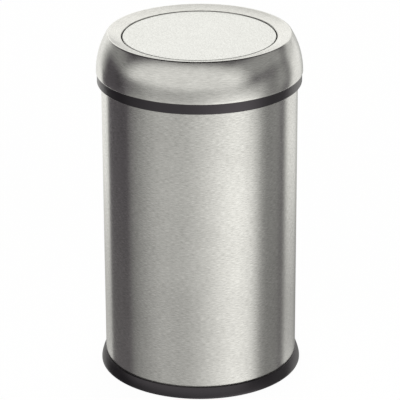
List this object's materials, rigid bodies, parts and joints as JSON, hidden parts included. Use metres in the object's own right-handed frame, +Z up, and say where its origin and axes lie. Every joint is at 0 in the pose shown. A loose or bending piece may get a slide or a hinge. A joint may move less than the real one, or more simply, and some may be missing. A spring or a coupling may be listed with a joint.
{
  "type": "swing-lid trash can",
  "caption": "Round steel kitchen bin with a weighted swing flap in a lift-off domed head, and a lift-out bucket with a bail handle.",
  "frame": {"origin": "on the bin's axis, on the floor that its pads stand on", "axes": "+Z up along the bin's axis, -Y towards the user at the front, +X to that user's right; the flap's pivots lie along X"},
  "size_m": [0.368, 0.368, 0.6324],
  "materials": {
    "brushed_steel_tube": "stainless sheet with a fine level brush",
    "brushed_steel_dome": "spun stainless sheet, satin, brushed round the axis",
    "brushed_steel_flap": "stainless disc with a fine matt grain",
    "black_abs": "moulded ABS, satin",
    "grey_polypropylene": "moulded polypropylene, matt",
    "natural_nylon": "moulded nylon",
    "zinc_plated_sheet": "zinc-plated sheet steel",
    "galvanised_sheet": "galvanised sheet steel, dull",
    "plated_steel": "bright zinc plate",
    "painted_bar": "black paint on a sawn steel bar",
    "rubber_pad": "moulded rubber",
    "black_grip": "moulded plastic grip"
  },
  "bodies": {
    "bin": {"body_shell": "brushed_steel_tube", "bottom_plate": "zinc_plated_sheet", "base_ring": "black_abs", "base_screws": "plated_steel", "anti_slip_pads": "rubber_pad"},
    "head": {"dome_shell": "brushed_steel_dome", "head_band": "black_abs", "throat_ring": "grey_polypropylene", "pivot_bracket_left": "zinc_plated_sheet", "pivot_bracket_right": "zinc_plated_sheet", "pivot_bush_left": "natural_nylon", "pivot_bush_right": "natural_nylon", "bracket_screws": "plated_steel"},
    "flap": {"flap_disc": "brushed_steel_flap", "flap_carrier": "grey_polypropylene", "pivot_pin_left": "plated_steel", "pivot_pin_right": "plated_steel", "counterweight": "painted_bar", "counterweight_screws": "plated_steel", "weight_spacers": "plated_steel"},
    "bucket": {"bucket": "galvanised_sheet", "bail_ear_left": "galvanised_sheet", "bail_ear_right": "galvanised_sheet", "ear_rivets": "plated_steel"},
    "handle": {"bail_handle": "plated_steel", "handle_grip": "black_grip"}
  },
  "joints": [
    {"name": "head_lift", "type": "slide", "parent": "bin", "child": "head", "axis": [0, 0, 1], "range_m": [0, 0.94]},
    {"name": "flap_swing", "type": "hinge", "parent": "head", "child": "flap", "pos_m": [0, 0, 0.6138], "axis": [1, 0, 0], "range_deg": [-80, 80]},
    {"name": "bucket_lift", "type": "slide", "parent": "bin", "child": "bucket", "axis": [0, 0, 1], "range_m": [0, 0.564]},
    {"name": "handle_swing", "type": "hinge", "parent": "bucket", "child": "handle", "pos_m": [0, 0, 0.506], "axis": [1, 0, 0], "range_deg": [0, 100.4]}
  ],
  "couplings": [
    {"joint": "bucket_lift", "follows": "head_lift", "ratio": 0.6},
    {"joint": "handle_swing", "follows": "head_lift", "rad_per_m": 1.8623}
  ]
}
